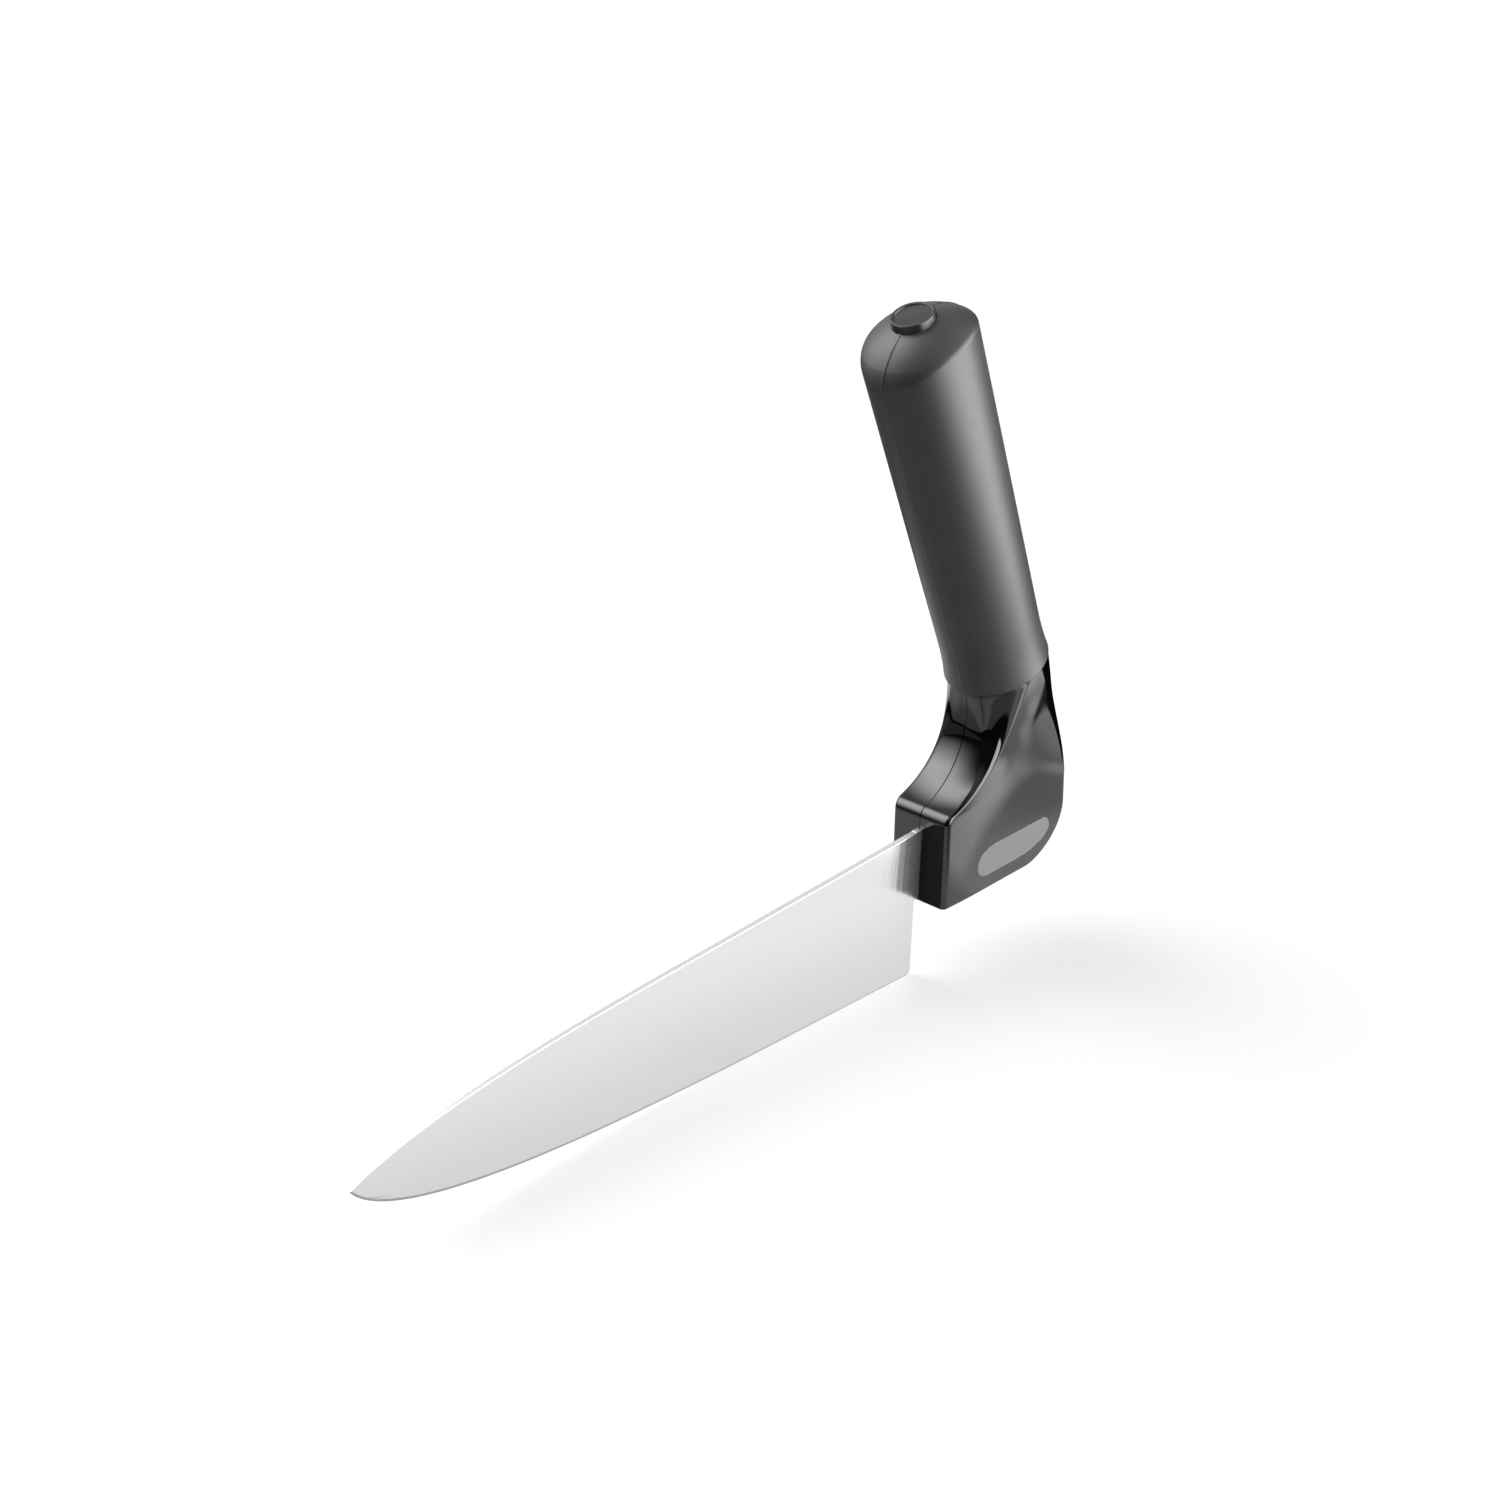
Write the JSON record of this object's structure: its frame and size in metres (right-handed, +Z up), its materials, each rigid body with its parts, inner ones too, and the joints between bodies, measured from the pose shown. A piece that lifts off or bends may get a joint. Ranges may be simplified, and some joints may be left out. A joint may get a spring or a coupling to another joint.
{
  "type": "meat knife",
  "caption": "Kitchen knife for meat with an upright, forward-leaning pistol-type handle in a soft sleeve and a long flat-ground steel blade held in a scooped block.",
  "frame": {"origin": "on the surface that the cutting edge stands on, under the middle of the knife's bounding box", "axes": "+X from the tip towards the handle, +Y to the knife's right, +Z up from the cutting edge"},
  "size_m": [0.2562, 0.0294, 0.1965],
  "materials": {
    "blade_steel": "satin, fine grinding lines from spine to edge",
    "shell_plastic": "polished moulded black plastic",
    "sleeve_rubber": "matte soft-touch dark grey rubber",
    "cap_plastic": "satin moulded black plastic",
    "inlay_plastic": "satin mid-grey plastic"
  },
  "bodies": {
    "root": {"blade": "blade_steel", "left_shell": "shell_plastic", "right_shell": "shell_plastic", "grip_sleeve": "sleeve_rubber", "end_cap": "cap_plastic", "side_inlay": "inlay_plastic"}
  },
  "joints": []
}
